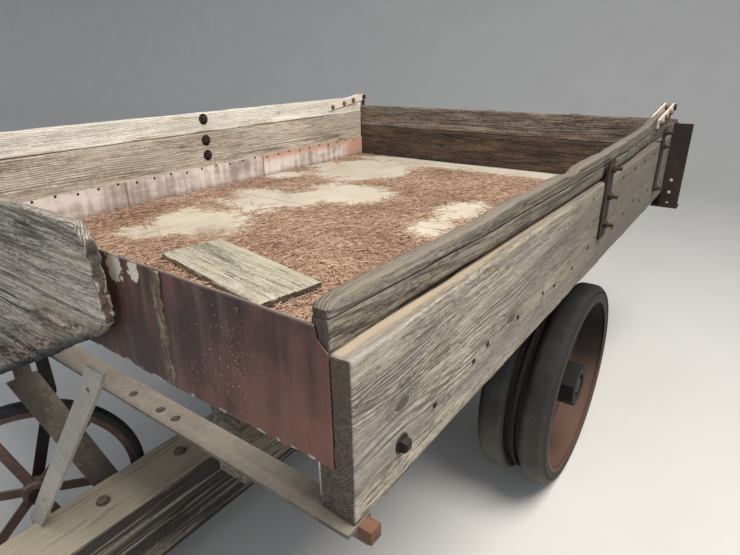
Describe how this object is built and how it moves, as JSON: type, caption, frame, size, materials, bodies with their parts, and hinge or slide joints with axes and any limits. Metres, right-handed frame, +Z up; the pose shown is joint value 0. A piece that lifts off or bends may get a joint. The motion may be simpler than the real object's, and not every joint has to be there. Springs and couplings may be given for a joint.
{
  "type": "two-wheeled farm hay wagon",
  "caption": "Weathered plank box on one axle with twin wheels, timber tongue with a pin hitch, small parking wheel and a hung endgate.",
  "frame": {"origin": "centre of the bounding box on the ground", "axes": "+X right when facing the rear, +Y to the rear, +Z up; the tongue points to -Y"},
  "size_m": [2.194, 4.3, 1.372],
  "materials": {
    "old_wood": "weathered grey",
    "floor_wood": "pale, dusty",
    "dry_straw": "dry straw and needles",
    "rusty_sheet": "rusty",
    "rusty_iron": "rusty",
    "dusty_steel": "dusty",
    "dark_iron": "dark rust",
    "tyre": "dusty rubber"
  },
  "bodies": {
    "wagon": {"axle": "dark_iron", "brace_bar": "dusty_steel", "brace_plate": "dusty_steel", "corner_block": "rusty_iron", "corner_posts": "dark_iron", "cross_angle_front": "dusty_steel", "cross_angle_rear": "dark_iron", "eye_straps": "dusty_steel", "fallen_board": "old_wood", "floor": "floor_wood", "floor_joists": "old_wood", "front_cleats": "old_wood", "front_sheet_left": "rusty_sheet", "front_sheet_right": "rusty_sheet", "hinge_bolts": "dark_iron", "hitch_plates": "dark_iron", "inner_board_lower_left": "old_wood", "inner_board_lower_right": "old_wood", "inner_board_upper_left": "old_wood", "inner_board_upper_right": "old_wood", "kick_strips": "rusty_sheet", "leaf_springs": "dark_iron", "old_board_lower": "old_wood", "old_board_middle": "old_wood", "old_board_upper": "old_wood", "outer_plank_left": "old_wood", "outer_plank_right": "old_wood", "parking_arm": "dark_iron", "parking_pin": "dark_iron", "side_straps": "dark_iron", "sills": "old_wood", "spring_hangers": "dark_iron", "straw_layer": "dry_straw", "tongue": "old_wood", "tongue_clamp": "dark_iron"},
    "wheels_left": {"hub_left": "dark_iron", "rim_inner_left": "rusty_iron", "rim_outer_left": "rusty_iron", "tyre_inner_left": "tyre", "tyre_outer_left": "tyre", "wheel_clamp_left": "dark_iron"},
    "wheels_right": {"hub_right": "dark_iron", "rim_inner_right": "rusty_iron", "rim_outer_right": "rusty_iron", "tyre_inner_right": "tyre", "tyre_outer_right": "tyre", "wheel_clamp_right": "dark_iron"},
    "parking_wheel": {"parking_rim": "rusty_iron", "parking_tyre": "tyre"},
    "endgate": {"gate_battens": "dark_iron", "gate_board_lower": "old_wood", "gate_board_upper": "old_wood", "gate_hinges": "dark_iron"}
  },
  "joints": [
    {"name": "wheels_left_turn", "type": "hinge", "parent": "wagon", "child": "wheels_left", "pos_m": [-0.877, 0.9, 0.4], "axis": [1, 0, 0], "continuous": true},
    {"name": "wheels_right_turn", "type": "hinge", "parent": "wagon", "child": "wheels_right", "pos_m": [0.877, 0.9, 0.4], "axis": [1, 0, 0], "continuous": true},
    {"name": "parking_wheel_turn", "type": "hinge", "parent": "wagon", "child": "parking_wheel", "pos_m": [-0.268, -0.57, 0.327], "axis": [0.9063, -0.4226, 0], "continuous": true},
    {"name": "endgate_swing", "type": "hinge", "parent": "wagon", "child": "endgate", "pos_m": [0, 2.12, 1.353], "axis": [1, 0, 0], "range_deg": [0, 80]}
  ]
}
